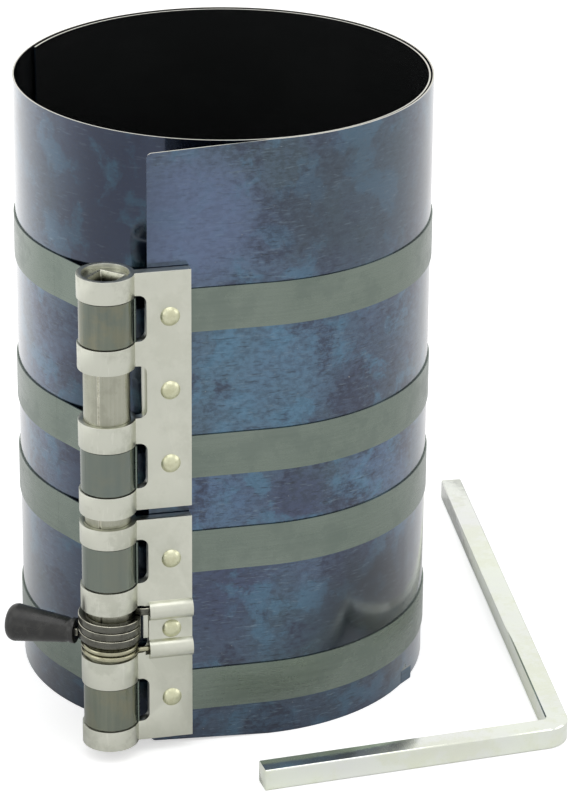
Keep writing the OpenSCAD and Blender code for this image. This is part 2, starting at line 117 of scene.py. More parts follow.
class NodeBench:
    """Adds nodes to one node tree and links them."""

    def __init__(self, tree: bpy.types.NodeTree) -> None:
        """Takes the tree to work on.

        Args:
            tree: A material's, group's or world's node tree.
        """
        self.tree = tree

    def add(self, kind: str, **settings: object) -> bpy.types.Node:
        """Adds a node and sets its properties.

        Args:
            kind: The node's type name.
            **settings: Properties of the node.

        Returns:
            The new node.
        """
        node = self.tree.nodes.new(kind)
        for name, value in settings.items():
            setattr(node, name, value)
        return node

    def feed(self, socket: Socket, value: object) -> None:
        """Links a socket to an output, or sets its value.

        Args:
            socket: The input.
            value: An output socket, or a plain value.
        """
        if isinstance(value, bpy.types.NodeSocket):
            self.tree.links.new(value, socket)
        else:
            socket.default_value = value

    def place(self, group: bpy.types.NodeTree, **inputs: object) -> bpy.types.Node:
        """Places a shared group.

        Args:
            group: The group.
            **inputs: Values or outputs for its inputs.

        Returns:
            The group's node.
        """
        node = self.add("ShaderNodeGroup", node_tree=group)
        for name, value in inputs.items():
            self.feed(node.inputs[name], value)
        return node

    def math(self, operation: str, first: object, second: object = 0.0) -> Socket:
        """Adds a Math node.

        Args:
            operation: Its operation.
            first: The first value or output.
            second: The second value or output.

        Returns:
            The result's socket.
        """
        node = self.add("ShaderNodeMath", operation=operation)
        self.feed(node.inputs[0], first)
        self.feed(node.inputs[1], second)
        return node.outputs[0]

    def times(self, first: object, *others: object) -> Socket:
        """Multiplies values.

        Args:
            first: The first value or output.
            *others: The values or outputs that it is multiplied by.

        Returns:
            The product's socket.
        """
        product = first
        for other in others:
            product = self.math("MULTIPLY", product, other)
        return product

    def vector_math(self, operation: str, output: str, *values: object) -> Socket:
        """Adds a Vector Math node.

        Args:
            operation: Its operation.
            output: The output that is wanted, Vector or Value.
            *values: Its inputs, as plain vectors or outputs.

        Returns:
            The output's socket.
        """
        node = self.add("ShaderNodeVectorMath", operation=operation)
        for socket, value in zip(node.inputs, values):
            self.feed(socket, value)
        return node.outputs[output]

    def split(self, vector: Socket) -> bpy.types.NodeOutputs:
        """Splits a vector.

        Args:
            vector: The vector.

        Returns:
            The outputs X, Y and Z.
        """
        node = self.add("ShaderNodeSeparateXYZ")
        self.feed(node.inputs[0], vector)
        return node.outputs

    def distance(self, vector: Socket, axes: Point, centre: Point) -> Socket:
        """Measures the distance from a point along some of the axes.

        Args:
            vector: The coordinates.
            axes: 1 for an axis that counts and 0 for one that doesn't.
            centre: The point, with 0 on the axes that don't count.

        Returns:
            The distance's socket.
        """
        flat = self.vector_math("MULTIPLY", "Vector", vector, axes)
        return self.vector_math("DISTANCE", "Value", flat, centre)

    def remap(self, value: object, low: float, high: float, new_low: float = 0.0,
              new_high: float = 1.0) -> Socket:
        """Adds a smooth Map Range node.

        Args:
            value: The value to change.
            low: The value that becomes new_low.
            high: The value that becomes new_high.
            new_low: The result's start.
            new_high: The result's end.

        Returns:
            The result's socket.
        """
        node = self.add("ShaderNodeMapRange", interpolation_type="SMOOTHSTEP")
        for name, number in zip(("From Min", "From Max", "To Min", "To Max"), (low, high, new_low, new_high)):
            node.inputs[name].default_value = number
        self.feed(node.inputs["Value"], value)
        return node.outputs["Result"]

    def mix(self, factor: object, first: object, second: object, blend: str = "MIX") -> Socket:
        """Adds a colour Mix node.

        Args:
            factor: The share of the second colour.
            first: The first colour.
            second: The second colour.
            blend: The blending mode.

        Returns:
            The colour's socket.
        """
        node = self.add("ShaderNodeMix", data_type="RGBA", blend_type=blend)
        self.feed(node.inputs["Factor"], factor)
        self.feed(node.inputs["A"], first)
        self.feed(node.inputs["B"], second)
        colours = [o for o in node.outputs if o.type == "RGBA"]
        return colours[0]

    def lay(self, under: object, shade: Colour, share: object) -> Socket:
        """Lays a display colour over another colour.

        Args:
            under: The colour beneath.
            shade: The display colour.
            share: The share of it that covers.

        Returns:
            The colour's socket.
        """
        return self.mix(share, under, linear(shade))

    def noise(self, vector: Socket, scale: object, detail: float, roughness: float = 0.55) -> Socket:
        """Adds a Noise Texture.

        Args:
            vector: Its coordinates.
            scale: Its scale.
            detail: Its number of octaves.
            roughness: The strength of the finer octaves.

        Returns:
            The value's socket.
        """
        node = self.add("ShaderNodeTexNoise")
        self.feed(node.inputs["Vector"], vector)
        self.feed(node.inputs["Scale"], scale)
        node.inputs["Detail"].default_value = detail
        node.inputs["Roughness"].default_value = roughness
        return node.outputs[0]

    def warp(self, vector: Socket, scale: float, reach: float) -> Socket:
        """Shifts coordinates to and fro by a noise, which makes the edges of a pattern ragged.

        Args:
            vector: The coordinates to change.
            scale: The noise's scale.
            reach: How far a point is shifted at most.

        Returns:
            The vector's socket.
        """
        noise = self.add("ShaderNodeTexNoise")
        self.feed(noise.inputs["Vector"], vector)
        noise.inputs["Scale"].default_value = scale
        noise.inputs["Detail"].default_value = 5.0
        centred = self.vector_math("SUBTRACT", "Vector", noise.outputs["Color"], (0.5, 0.5, 0.5))
        both_ways = 2.0 * reach
        return self.vector_math("MULTIPLY_ADD", "Vector", centred, (both_ways, both_ways, both_ways), vector)

    def stretch(self, vector: Socket, scale: Sequence[float], shift: Sequence[float] = (0, 0, 0)) -> Socket:
        """Adds a Mapping node.

        Args:
            vector: The coordinates to change.
            scale: The stretch of the pattern along each axis.
            shift: A shift that gives another patch of the pattern.

        Returns:
            The vector's socket.
        """
        node = self.add("ShaderNodeMapping")
        self.feed(node.inputs["Vector"], vector)
        node.inputs["Scale"].default_value = scale
        node.inputs["Location"].default_value = shift
        return node.outputs["Vector"]

    def emboss(self, shader: bpy.types.Node, height: Socket, strength: float, depth: float) -> None:
        """Gives a shader a fine relief.

        Args:
            shader: The shader.
            height: The relief's height.
            strength: Its strength, from 0 to 1.
            depth: The depth of a height of 1, in metres.
        """
        bump = self.add("ShaderNodeBump")
        bump.inputs["Strength"].default_value = strength
        bump.inputs["Distance"].default_value = depth
        self.feed(bump.inputs["Height"], height)
        self.feed(shader.inputs["Normal"], bump.outputs["Normal"])


def start_material(name: str) -> Tuple[bpy.types.Material, NodeBench, bpy.types.Node]:
    """Starts a material.

    Args:
        name: The material's name.

    Returns:
        The material, its bench and its shader.
    """
    material = bpy.data.materials.new(name)
    material.use_nodes = True
    tree = material.node_tree
    return material, NodeBench(tree), tree.nodes["Principled BSDF"]


class EffectLibrary:
    """Builds the effects that several finishes share, once each, as shader node groups."""

    def __init__(self) -> None:
        """Builds the groups."""
        self.mottle = self._mottle()
        self.brush = self._brush()
        self.wear = self._wear()
        self.heat = self._heat()

    @staticmethod
    def _group(name: str, inputs: Sequence[Tuple[str, str]], outputs: Sequence[str]) -> Tuple:
        """Starts a group with named sockets.

        Args:
            name: The group's name.
            inputs: Pairs of socket name and socket type.
            outputs: Names of the value outputs.

        Returns:
            The group, its bench, its input node's outputs and its output node's inputs.
        """
        group = bpy.data.node_groups.new(name, "ShaderNodeTree")
        for label, kind in inputs:
            group.interface.new_socket(label, in_out="INPUT", socket_type=kind)
        for label in outputs:
            group.interface.new_socket(label, in_out="OUTPUT", socket_type="NodeSocketFloat")
        bench = NodeBench(group)
        return group, bench, bench.add("NodeGroupInput").outputs, bench.add("NodeGroupOutput").inputs

    def _mottle(self) -> bpy.types.NodeTree:
        """Builds the cloudy patches: broad ones and ragged ones.

        Returns:
            The group.
        """
        group, bench, given, result = self._group(
            "mottle", [("Vector", "NodeSocketVector"), ("Scale", "NodeSocketFloat")], ["Broad", "Ragged"])
        ragged_scale = bench.times(given["Scale"], 2.7)
        broad = bench.noise(given["Vector"], given["Scale"], detail=3.0)
        ragged = bench.noise(given["Vector"], ragged_scale, detail=9.0, roughness=0.68)
        bench.feed(result["Broad"], bench.remap(broad, low=0.36, high=0.64))
        bench.feed(result["Ragged"], bench.remap(ragged, low=0.46, high=0.6))
        return group

    def _brush(self) -> bpy.types.NodeTree:
        """Builds brush lines: fine ones and stray deeper ones.

        Returns:
            The group.
        """
        group, bench, given, result = self._group(
            "brush_lines", [("Vector", "NodeSocketVector")], ["Line", "Scratch"])
        line = bench.noise(given["Vector"], 1.0, detail=5.0, roughness=0.7)
        elsewhere = bench.stretch(given["Vector"], scale=(2.3, 2.3, 0.31), shift=(3.7, 1.9, 8.2))
        stray = bench.noise(elsewhere, 1.0, detail=2.0)
        bench.feed(result["Line"], bench.remap(line, low=0.28, high=0.72))
        bench.feed(result["Scratch"], bench.remap(stray, low=0.63, high=0.7))
        return group

    def _wear(self) -> bpy.types.NodeTree:
        """Builds the rubbed edges, from the mask of the rounded edges and a broken pattern; on the clutch
        coil's corners they are also painted highlights.

        Returns:
            The group.
        """
        group, bench, given, result = self._group(
            "edge_wear", [("Vector", "NodeSocketVector"), ("Edge", "NodeSocketFloat")], ["Wear"])
        patch = bench.noise(given["Vector"], 260.0, detail=4.0, roughness=0.7)
        broken = bench.remap(patch, low=0.35, high=0.6, new_low=0.35)
        bench.feed(result["Wear"], bench.times(given["Edge"], broken))
        return group

    def _heat(self) -> bpy.types.NodeTree:
        """Builds heat colours: a broad drift, ragged patches, a close grain, level dashes and specks.

        Returns:
            The group.
        """
        group, bench, given, result = self._group(
            "heat_patches", [("Vector", "NodeSocketVector")],
            ["Drift", "Bright", "Dusk", "Slate", "Grain", "Dash", "Nick", "Speck"])
        vector = given["Vector"]
        wavy = bench.warp(vector, scale=40.0, reach=9.0 * MM)
        ragged = bench.warp(wavy, scale=600.0, reach=1.5 * MM)
        grain = bench.noise(bench.stretch(vector, (1.0, 1.0, 1.5)), 520.0, detail=6.0, roughness=0.7)

        def patch(scale: float, shift: float, low: float, high: float) -> Socket:
            """Gives one set of patches, thinned by the grain.

            Args:
                scale: The patches' scale.
                shift: The place of the pattern that they are taken from.
                low: The noise's value where a patch begins.
                high: The noise's value where it is full.

            Returns:
                The patches' socket.
            """
            moved = bench.stretch(ragged, (1.0, 1.0, 1.0), (shift, -shift, 0.4 * shift))
            spots = bench.remap(bench.noise(moved, scale, detail=5.0, roughness=0.58), low, high)
            return bench.times(spots, bench.remap(grain, low=0.34, high=0.62, new_low=0.35))

        def dash(shift: float, low: float, high: float) -> Socket:
            """Gives one set of short level dashes.

            Args:
                shift: The place of the pattern that they are taken from.
                low: The noise's value where a dash begins.
                high: The noise's value where it is full.

            Returns:
                The dashes' socket.
            """
            moved = bench.stretch(vector, (260.0, 260.0, 1900.0), (shift, shift, shift))
            return bench.remap(bench.noise(moved, 1.0, detail=3.0, roughness=0.6), low, high)

        bench.feed(result["Drift"], patch(scale=12.0, shift=0.31, low=0.4, high=0.6))
        bench.feed(result["Bright"], patch(scale=76.0, shift=1.72, low=0.5, high=0.62))
        bench.feed(result["Dusk"], patch(scale=52.0, shift=3.15, low=0.52, high=0.6))
        bench.feed(result["Slate"], patch(scale=22.0, shift=5.28, low=0.47, high=0.58))
        bench.feed(result["Grain"], bench.remap(grain, low=0.4, high=0.62))
        bench.feed(result["Dash"], dash(shift=0.7, low=0.58, high=0.72))
        bench.feed(result["Nick"], dash(shift=7.9, low=0.57, high=0.7))
        bench.feed(result["Speck"], bench.remap(bench.noise(vector, 1500.0, detail=2.0), low=0.75, high=0.8))
        return group


@dataclass(frozen=True)
class Canvas:
    """What a metal finish paints on: a material's bench, Object coordinates and the placed effects."""

    bench: NodeBench
    effects: EffectLibrary
    vector: Socket
    mottle: bpy.types.Node
    brush: bpy.types.Node


@dataclass(frozen=True)
class MetalFinish:
    """A worked metal: a colour with clouds of two others, brush lines, rubbed edges and a fine relief."""

    slot: str
    base: Colour
    cloud: Colour
    stain: Colour
    edge: Colour
    grain: Grain = Grain.EVEN
    cloud_scale: float = 30.0
    cloud_share: float = 0.5
    stain_share: float = 0.4
    line_share: float = 0.12
    line_gloss: float = 0.6
    cloud_gloss: float = 0.4
    roughness: Span = (0.3, 0.45)
    relief: float = 0.05
    relief_depth: float = 0.2 * MM
    coat: float = 0.0
    coat_roughness: float = 0.12
    coat_ior: float = 1.5
    metallic: float = 1.0

    def material(self, effects: EffectLibrary) -> bpy.types.Material:
        """Builds the material.

        Args:
            effects: The shared node groups.

        Returns:
            The finished material.
        """
        material, bench, shader = start_material(self.slot)
        vector = bench.add("ShaderNodeTexCoord").outputs["Object"]
        mottle = bench.place(effects.mottle, Vector=vector, Scale=self.cloud_scale)
        brush = bench.place(effects.brush, Vector=bench.stretch(vector, self.grain.value))
        edge_mask = bench.add("ShaderNodeAttribute", attribute_name=EDGE_LAYER).outputs["Fac"]
        wear = bench.place(effects.wear, Vector=vector, Edge=edge_mask)
        colour = self.tint(Canvas(bench, effects, vector, mottle, brush))
        bench.feed(shader.inputs["Base Color"], bench.lay(colour, self.edge, wear.outputs["Wear"]))
        shader.inputs["Metallic"].default_value = self.metallic
        shader.inputs["Coat Weight"].default_value = self.coat
        shader.inputs["Coat Roughness"].default_value = self.coat_roughness
        shader.inputs["Coat IOR"].default_value = self.coat_ior
        gloss = bench.math(
            "ADD", bench.times(brush.outputs["Line"], self.line_gloss),
            bench.times(mottle.outputs["Ragged"], self.cloud_gloss))
        bench.feed(shader.inputs["Roughness"], bench.remap(gloss, 0.0, 1.0, *self.roughness))
        height = bench.math("SUBTRACT", brush.outputs["Line"], brush.outputs["Scratch"])
        bench.emboss(shader, height, self.relief, self.relief_depth)
        return material

    def tint(self, canvas: Canvas) -> Socket:
        """Mixes the finish's colours.

        Args:
            canvas: What the finish paints on.

        Returns:
            The colour's socket.
        """
        bench = canvas.bench
        clouds = bench.times(canvas.mottle.outputs["Broad"], self.cloud_share)
        stains = bench.times(canvas.mottle.outputs["Ragged"], self.stain_share)
        # Brush lines screened in the edge colour; on the rolls they are painted highlights.
        lines = bench.times(canvas.brush.outputs["Line"], self.line_share)
        colour = bench.lay(linear(self.base), self.cloud, clouds)
        colour = bench.lay(colour, self.stain, stains)
        return bench.mix(lines, colour, linear(self.edge), "SCREEN")


@dataclass(frozen=True)
class HeatAndShadeZone:
    """A broad soft zone of one colour on the front of the sheet, in millimetres; most are heat colours and
    one is a painted dark reflection.

    A calm zone thins the patches and marks on it.
    """

    x: float
    z: float
    reach: float
    shade: Colour
    share: float
    calm: bool = False
    core: float = 0.35

    def cover(self, canvas: Canvas, front: Socket) -> Socket:
        """Gives the share of the zone's colour at each place.

        Args:
            canvas: What the finish paints on.
            front: A value of 1 on the front half of the sheet.

        Returns:
            The share's socket.
        """
        away = canvas.bench.distance(canvas.vector, (1.0, 0.0, 1.0), (self.x * MM, 0.0, self.z * MM))
        near = canvas.bench.remap(away, self.core * self.reach * MM, self.reach * MM, self.share, 0.0)
        return canvas.bench.times(near, front)


@dataclass(frozen=True)
class HeatLayer:
    """One pattern of the heat group, with its colour and how strongly it shows."""

    output: str
    share: float
    shade: Colour


@dataclass(frozen=True)
class BluedFinish(MetalFinish):
    """Blued spring steel: heat colours in patches, fine dashes and specks and a bright sheared rim, with
    painted shade on the front's left side and towards the bottom and a painted dark reflection on the lower
    right.
    """

    # Colour of the nicks and of the painted shade towards the bottom.
    nick_and_low_shade: Colour = (26, 31, 40)
    # Colour of the painted shade on the front's left side.
    left_shade: Colour = (12, 26, 52)
    teal: Colour = (46, 84, 104)
    inside: Colour = (94, 97, 97)
    sheared: Colour = (206, 204, 190)
    drifts: Tuple[HeatLayer, ...] = (
        HeatLayer("Drift", 0.75, (86, 98, 126)),
        HeatLayer("Slate", 0.75, (70, 88, 96)))
    zones: Tuple[HeatAndShadeZone, ...] = (
        HeatAndShadeZone(-22.0, 157.0, 27.0, (94, 109, 140), 0.8, True),
        HeatAndShadeZone(28.0, 157.0, 36.0, (60, 73, 82), 0.65, True),
        HeatAndShadeZone(-50.0, 160.0, 30.0, (36, 44, 58), 0.5, True),
        HeatAndShadeZone(-2.0, 110.0, 30.0, (94, 134, 160), 0.45),
        HeatAndShadeZone(29.0, 101.0, 20.0, (62, 72, 94), 0.45),
        HeatAndShadeZone(9.0, 72.0, 13.0, (58, 60, 92), 0.5),
        HeatAndShadeZone(-12.0, 46.0, 18.0, (54, 58, 90), 0.55),
        HeatAndShadeZone(-15.0, 73.0, 15.0, (92, 126, 162), 0.4),
        HeatAndShadeZone(34.0, 76.0, 17.0, (92, 122, 158), 0.4),
        HeatAndShadeZone(5.0, 32.0, 20.0, (74, 108, 126), 0.35),
        # Painted dark reflection on the lower right, over the sheet's dark slate tone.
        HeatAndShadeZone(33.0, 32.0, 28.0, (30, 36, 42), 0.85, True))
    patches: Tuple[HeatLayer, ...] = (
        HeatLayer("Bright", 0.85, (88, 132, 160)),
        HeatLayer("Dusk", 0.8, (46, 50, 74)))
    marks: Tuple[HeatLayer, ...] = (
        HeatLayer("Grain", 0.42, (38, 46, 60)),
        HeatLayer("Nick", 0.55, nick_and_low_shade),
        HeatLayer("Dash", 0.36, (124, 144, 156)),
        HeatLayer("Speck", 0.6, sheared))
    front_span: Span = (-12.0 * MM, 16.0 * MM)
    # Painted shade towards the bottom: the height where it fades out and its strength at the foot.
    low_shade_top: float = 70.0 * MM
    low_shade_share: float = 0.36
    # Painted shade on the front's left side: its ramp along X, its right end and its strength.
    left_shade_span: Span = (-57.5 * MM, -44.0 * MM)
    left_shade_end: float = -12.0 * MM
    left_shade_share: float = 0.82
    flap_back: float = -57.2 * MM
    fleck_share: float = 0.75
    calm_marks: float = 0.45
    left_shade_marks: float = 0.4
    rim_span: Span = (0.6, 0.9)

    def tint(self, canvas: Canvas) -> Socket:
        """Lays the heat colours and the painted dark reflection over each other, paints shade on the front's
        left side and towards the bottom, dulls the inside and bares the sheared rim.

        Args:
            canvas: What the finish paints on.

        Returns:
            The colour's socket.
        """
        bench = canvas.bench
        heat = bench.place(canvas.effects.heat, Vector=canvas.vector).outputs
        at = bench.split(canvas.vector)
        facing = bench.split(bench.add("ShaderNodeTexCoord").outputs["Normal"])
        front = bench.remap(at["Y"], *self.front_span, 1.0, 0.0)

        def spread(under: Socket, layers: Sequence[HeatLayer], thinned: object) -> Socket:
            """Lays some layers of the heat group over a colour.

            Args:
                under: The colour beneath.
                layers: The layers, from the lowest.
                thinned: A share that thins them all.

            Returns:
                The colour's socket.
            """
            for layer in layers:
                under = bench.lay(under, layer.shade, bench.times(heat[layer.output], layer.share, thinned))
            return under

        colour = spread(super().tint(canvas), self.drifts, 1.0)
        lively = 1.0
        for zone in self.zones:
            cover = zone.cover(canvas, front)
            colour = bench.lay(colour, zone.shade, cover)
            if zone.calm:
                lively = bench.times(bench.math("SUBTRACT", 1.0, cover), lively)
        colour = spread(colour, self.patches, lively)
        # Painted shade towards the bottom, where the sheet mirrors the shadowed floor.
        colour = bench.lay(colour, self.nick_and_low_shade, bench.remap(at["Z"], 0.0, self.low_shade_top, self.low_shade_share, 0.0))

        # Painted shade on the front's left side, with teal heat flecks laid over it.
        side = bench.remap(at["X"], *self.left_shade_span, 0.0, self.left_shade_share)
        left = bench.math("LESS_THAN", at["X"], self.left_shade_end)
        beneath = bench.math("GREATER_THAN", at["Y"], self.flap_back)
        left_shade = bench.times(side, left, front, beneath)
        colour = bench.lay(colour, self.left_shade, left_shade)
        colour = bench.lay(colour, self.teal, bench.times(heat["Bright"], left_shade, self.fleck_share))

        on_calm = bench.remap(lively, 0.0, 1.0, self.calm_marks, 1.0)
        on_left_shade = bench.remap(left_shade, 0.0, self.left_shade_share, 1.0, self.left_shade_marks)
        colour = spread(colour, self.marks, bench.times(on_calm, on_left_shade))

        outward = bench.math("ADD", bench.times(facing["X"], at["X"]), bench.times(facing["Y"], at["Y"]))
        colour = bench.lay(colour, self.inside, bench.math("LESS_THAN", outward, 0.0))
        upright = bench.math("ABSOLUTE", facing["Z"])
        return bench.lay(colour, self.sheared, bench.remap(upright, *self.rim_span))


@dataclass(frozen=True)
class SocketFinish(MetalFinish):
    """Tube steel with painted shade inside its square socket."""

    socket_shade: Colour = (52, 51, 45)
    socket_shade_share: float = 0.9
    inner_r: float = 4.7 * MM
    rim_z: float = 142.8 * MM
    dark_z: float = 139.4 * MM

    def tint(self, canvas: Canvas) -> Socket:
        """Paints shade in the socket, darker from its rim downwards.

        Args:
            canvas: What the finish paints on.

        Returns:
            The colour's socket.
        """
        bench = canvas.bench
        away = bench.distance(canvas.vector, (1.0, 1.0, 0.0), (SHAFT_X, SHAFT_Y, 0.0))
        inside = bench.math("LESS_THAN", away, self.inner_r)
        # Painted shade, growing darker below the socket's rim.
        below = bench.remap(bench.split(canvas.vector)["Z"], self.dark_z, self.rim_z, self.socket_shade_share, 0.0)
        return bench.lay(super().tint(canvas), self.socket_shade, bench.times(inside, below))


@dataclass(frozen=True)
class KnuckleFinish(MetalFinish):
    """Zinc plate whose rolled knuckles are rubbed and scratched while its flat wing stays plain."""

    rubbed: Colour = (150, 152, 138)
    rub_share: float = 0.2
    wing_x: float = -37.0 * MM
    roll_x: float = -39.5 * MM

    def tint(self, canvas: Canvas) -> Socket:
        """Adds rubs and scratches to the knuckles.

        Args:
            canvas: What the finish paints on.

        Returns:
            The colour's socket.
        """
        bench = canvas.bench
        rolled = bench.remap(bench.split(canvas.vector)["X"], self.roll_x, self.wing_x, self.rub_share, 0.0)
        rubs = bench.times(rolled, canvas.mottle.outputs["Ragged"])
        scratches = bench.times(rolled, canvas.brush.outputs["Scratch"])
        return bench.lay(bench.lay(super().tint(canvas), self.rubbed, rubs), self.edge, scratches)


@dataclass(frozen=True)
class RollFinish(MetalFinish):
    """Wound strip that is warm at both ends of the shaft and cooler between them."""

    cool: Colour = (115, 124, 119)
    cool_share: float = 0.55
    cool_top: Span = (96.0 * MM, 122.0 * MM)
    cool_foot: Span = (26.0 * MM, 50.0 * MM)

    def tint(self, canvas: Canvas) -> Socket:
        """Cools the middle rolls.

        Args:
            canvas: What the finish paints on.

        Returns:
            The colour's socket.
        """
        bench = canvas.bench
        height = bench.split(canvas.vector)["Z"]
        below = bench.remap(height, *self.cool_top, self.cool_share, 0.0)
        above = bench.remap(height, *self.cool_foot)
        return bench.lay(super().tint(canvas), self.cool, bench.times(below, above))


@dataclass(frozen=True)
class PlasticFinish:
    """Dipped plastic with a fine pebble and rubbed, slightly greyer patches."""

    slot: str
    base: Colour
    rubbed: Colour
    rub_scale: float = 120.0
    rub_share: float = 0.5
    roughness: Span = (0.26, 0.4)
    pebble_scale: float = 2600.0
    relief: float = 0.12
    relief_depth: float = 0.1 * MM

    def material(self, effects: EffectLibrary) -> bpy.types.Material:
        """Builds the material.

        Args:
            effects: The shared node groups.

        Returns:
            The finished material.
        """
        material, bench, shader = start_material(self.slot)
        vector = bench.add("ShaderNodeTexCoord").outputs["Object"]
        mottle = bench.place(effects.mottle, Vector=vector, Scale=self.rub_scale).outputs
        rubs = bench.times(mottle["Ragged"], self.rub_share)
        bench.feed(shader.inputs["Base Color"], bench.lay(linear(self.base), self.rubbed, rubs))
        bench.feed(shader.inputs["Roughness"], bench.remap(mottle["Broad"], 0.0, 1.0, *self.roughness))
        pebble = bench.noise(vector, self.pebble_scale, detail=3.0)
        bench.emboss(shader, pebble, self.relief, self.relief_depth)
        return material


Finish = Union[MetalFinish, PlasticFinish]

BLUED_SHEET = BluedFinish(
    "blued_sheet", base=(68, 90, 112), cloud=(78, 100, 124), stain=(56, 70, 88), edge=(214, 212, 200),
    grain=Grain.LEVEL, cloud_scale=16.0, cloud_share=0.7, stain_share=0.35, line_share=0.03,
    roughness=(0.12, 0.22), relief=0.03, coat=1.0, coat_roughness=0.1, coat_ior=1.45, metallic=0.92)
BAND_STEEL = MetalFinish(
    "band_steel", base=(115, 126, 117), cloud=(126, 136, 127), stain=(97, 109, 103), edge=(180, 184, 174),
    grain=Grain.LEVEL, cloud_scale=34.0, stain_share=0.3, line_share=0.05,
    roughness=(0.24, 0.36), relief=0.04, coat=0.12, coat_roughness=0.2)
# The rolls' soft upright lines in the brownish edge colour are painted highlights.
ROLL_STEEL = RollFinish(
    "roll_steel", base=(112, 119, 108), cloud=(96, 106, 103), stain=(134, 127, 102), edge=(192, 183, 150),
    grain=Grain.UPRIGHT_SHEEN, cloud_scale=40.0, cloud_share=0.6, stain_share=0.3, line_share=0.2,
    roughness=(0.18, 0.26), relief=0.01)
TUBE_STEEL = SocketFinish(
    "tube_steel", base=(160, 161, 146), cloud=(176, 176, 160), stain=(132, 132, 118), edge=(214, 213, 200),
    grain=Grain.UPRIGHT, cloud_scale=60.0, stain_share=0.3, line_share=0.08,
    roughness=(0.26, 0.4), relief=0.06)
ZINC_PLATE = KnuckleFinish(
    "zinc_plate", base=(208, 209, 196), cloud=(198, 200, 187), stain=(184, 186, 171), edge=(230, 230, 220),
    cloud_scale=34.0, stain_share=0.25, line_share=0.04, roughness=(0.28, 0.42), relief=0.04)
RIVET_ZINC = MetalFinish(
    "rivet_zinc", base=(206, 207, 176), cloud=(214, 213, 186), stain=(178, 176, 142), edge=(232, 230, 210),
    cloud_scale=180.0, stain_share=0.35, line_share=0.03, roughness=(0.28, 0.42))
# Its edge colour also paints highlights on the clutch coil's corners.
SPRING_BLACK = MetalFinish(
    "spring_black", base=(96, 96, 89), cloud=(80, 80, 76), stain=(60, 59, 53), edge=(196, 194, 178),
    grain=Grain.LEVEL, cloud_scale=90.0, stain_share=0.5, line_share=0.06,
    roughness=(0.22, 0.36), relief=0.06)
SPRING_BRIGHT = MetalFinish(
    "spring_bright", base=(160, 158, 134), cloud=(174, 172, 148), stain=(120, 116, 88), edge=(214, 212, 194),
    grain=Grain.LEVEL, cloud_scale=90.0, line_share=0.05, roughness=(0.2, 0.34), relief=0.04)
KEY_PLATING = MetalFinish(
    "key_plating", base=(237, 242, 228), cloud=(231, 231, 233), stain=(222, 226, 194), edge=(247, 248, 243),
    cloud_scale=26.0, cloud_share=0.6, stain_share=0.35, line_share=0.03,
    roughness=(0.08, 0.18), relief=0.02)
GRIP_PLASTIC = PlasticFinish("grip_plastic", base=(27, 27, 26), rubbed=(54, 54, 51))


class Workshop:
    """Makes pieces, dresses them and keeps the stock of materials."""

    def __init__(self) -> None:
        """Builds the shared effects and starts an empty stock."""
        self.effects = EffectLibrary()
        self.stock: Dict[str, bpy.types.Material] = {}

    def dress(self, piece: bpy.types.Object, finish: Finish) -> None:
        """Gives a piece its one material, which is built at its first use.

        Args:
            piece: A mesh object.
            finish: The piece's finish.
        """
        if finish.slot not in self.stock:
            self.stock[finish.slot] = finish.material(self.effects)
        piece.data.materials.clear()
        piece.data.materials.append(self.stock[finish.slot])

    def finish_piece(self, name: str, mesh: bmesh.types.BMesh, finish: Finish, body: Body, node: str) -> None:
        """Turns a bmesh into a piece that stands for a CAD node and moves with a body.

        Args:
            name: The piece's name.
            mesh: The finished bmesh, which is freed.
            finish: Its finish.
            body: The body that it rides on.
            node: The CAD node that it stands for.
        """
        for face in mesh.faces:
            face.smooth = True
        piece = mesh_object(name, mesh)
        self.dress(piece, finish)
        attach(piece, body.value)
        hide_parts(node)
        piece.data.set_sharp_from_angle(angle=CREASE_ANGLE)
        LOG.info("made %s: %d faces", name, len(piece.data.polygons))

    def soften(self, node: str, finish: Finish, body: Body, width: float,
               bars: Sequence[Tuple[Vector, Vector]] = (), weld: float = 0.002 * MM) -> None:
        """Replaces a CAD node by a copy whose sharp edges are rounded and marked for wear.

        Args:
            node: The CAD node.
            finish: Its finish.
            body: The body that it rides on.
            width: The width of the rounding, in metres.
            bars: Small bars that the copy gets, as pairs of a lowest and a highest corner.
            weld: The distance within which points are merged, in metres.
        """
        mesh = bmesh.new()
        mesh.from_mesh(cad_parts[node].data)
        mask = mesh.faces.layers.float.new(EDGE_LAYER)
        for low, high in bars:
            place = Matrix.Translation((low + high) / 2) @ Matrix.Diagonal((*(high - low), 1.0))
            bmesh.ops.create_cube(mesh, size=1.0, matrix=place)
        bmesh.ops.remove_doubles(mesh, verts=mesh.verts, dist=weld)
        bmesh.ops.dissolve_degenerate(mesh, edges=mesh.edges, dist=weld)
        bmesh.ops.dissolve_limit(
            mesh, angle_limit=FLAT_ANGLE, verts=mesh.verts, edges=mesh.edges, use_dissolve_boundaries=False)
        sharp = [e for e in mesh.edges if len(e.link_faces) == 2 and e.calc_face_angle(0.0) > SHARP_ANGLE]
        made = bmesh.ops.bevel(
            mesh, geom=sharp, offset=width, offset_type="OFFSET", affect="EDGES", segments=2,
            profile=0.5, material=-1, clamp_overlap=True)
        for face in made["faces"]:
            face[mask] = 1.0
        self.finish_piece(node + "_dressed", mesh, finish, body, node)

    def keep(self, node: str, finish: Finish) -> None:
        """Leaves a CAD node in view and gives it a finish.

        Args:
            node: The CAD node.
            finish: Its finish.
        """
        self.dress(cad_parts[node], finish)
        LOG.info("kept %s", node)


@dataclass
class SleeveAssembly:
    """The coiled sheet and the four bands around it."""

    bands: int = 4

    def build(self, shop: Workshop) -> None:
        """Dresses the sheet and the bands.

        Args:
            shop: The workshop.
        """
        shop.keep("sleeve", BLUED_SHEET)
        for number in range(1, self.bands + 1):
            shop.keep(f"tension_band_{number}", BAND_STEEL)


